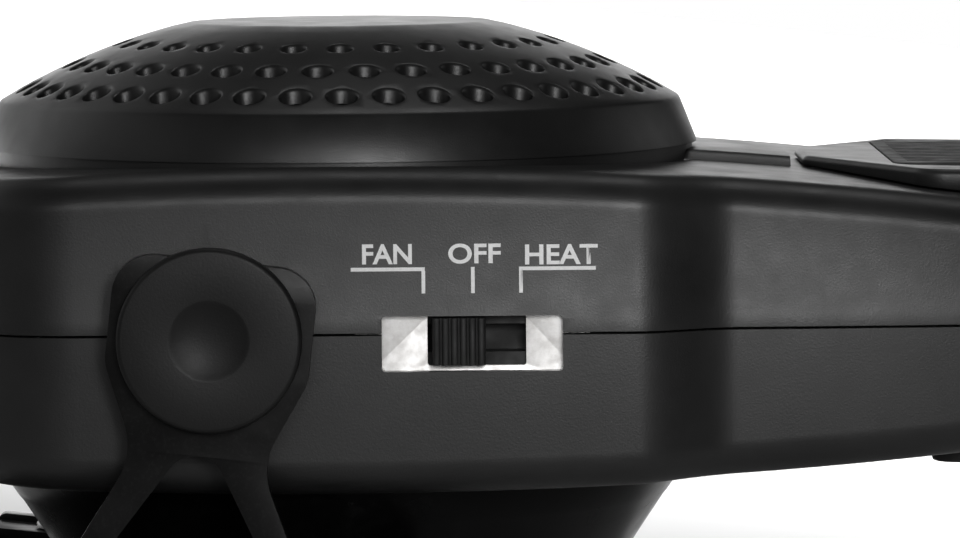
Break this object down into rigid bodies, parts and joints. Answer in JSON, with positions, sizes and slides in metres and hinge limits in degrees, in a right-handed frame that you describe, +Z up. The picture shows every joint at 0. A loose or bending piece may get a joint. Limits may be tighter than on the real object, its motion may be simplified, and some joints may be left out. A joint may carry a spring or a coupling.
{
  "type": "portable fan heater on a tilting bracket",
  "caption": "Compact black fan heater with a perforated domed inlet, conical outlet, slide switch and folding tail handle, tilting between wishbone arms on a flat base.",
  "frame": {"origin": "centre of the bounding box at its base, on the surface that the object stands on", "axes": "+X along the housing from the rounded front end to the handle end, +Y from the switch side to the far side, +Z up"},
  "size_m": [0.1858, 0.1436, 0.102],
  "materials": {
    "housing_black": "fine satin-moulded black plastic, roughness about 0.5",
    "bracket_black": "smooth black powder coat, roughness about 0.4",
    "nozzle_black": "darker, glossier black plastic",
    "rubber_black": "dull black rubber or matt moulding",
    "nickel": "bright nickel plate with a brushed look",
    "steel": "plain zinc-plated steel",
    "brown_frame": "heat-proof brown moulding",
    "aluminium": "plain aluminium fins",
    "fan_grey": "dark grey moulding"
  },
  "bodies": {
    "bracket": {"base_plate": "bracket_black", "base_pad": "rubber_black", "arm_near": "bracket_black", "arm_far": "bracket_black", "base_screw_near_1": "steel", "base_screw_near_2": "steel", "base_screw_far_1": "steel", "base_screw_far_2": "steel"},
    "heater": {"upper_shell": "housing_black", "lower_shell": "housing_black", "inlet_cap": "housing_black", "fan_shroud": "housing_black", "pivot_disc_near": "bracket_black", "pivot_disc_far": "bracket_black", "outlet_nozzle": "nozzle_black", "outlet_grille": "nozzle_black", "friction_washer_near": "rubber_black", "friction_washer_far": "rubber_black", "housing_foot_near": "rubber_black", "housing_foot_far": "rubber_black", "cord_gland": "rubber_black", "switch_body": "rubber_black", "switch_plate": "nickel", "pivot_bush_near": "steel", "pivot_bush_far": "steel", "pivot_nut_near": "steel", "pivot_nut_far": "steel", "motor_can": "steel", "thermal_cutout": "steel", "hinge_pin": "steel", "housing_screw_1": "steel", "housing_screw_2": "steel", "housing_screw_3": "steel", "housing_screw_4": "steel", "heater_frame": "brown_frame", "ptc_heater_core": "aluminium"},
    "fan": {"fan_impeller": "fan_grey", "motor_shaft": "steel"},
    "switch_slider": {"switch_knob": "rubber_black"},
    "handle": {"handle": "housing_black", "grip_insert": "rubber_black"}
  },
  "joints": [
    {"name": "tilt", "type": "hinge", "parent": "bracket", "child": "heater", "pos_m": [-0.04915, 0, 0.053], "axis": [0, -1, 0], "range_deg": [-14.5, 103.5]},
    {"name": "fan_spin", "type": "hinge", "parent": "heater", "child": "fan", "pos_m": [-0.03136, 0, 0.05503], "axis": [-0.1132, 0, 0.9936], "continuous": true},
    {"name": "switch_slide", "type": "slide", "parent": "heater", "child": "switch_slider", "axis": [0.9936, 0, 0.1132], "range_m": [0, 0.0054]},
    {"name": "handle_fold", "type": "hinge", "parent": "heater", "child": "handle", "pos_m": [0.07666, 0, 0.08746], "axis": [0, 1, 0], "range_deg": [0, 175]}
  ]
}
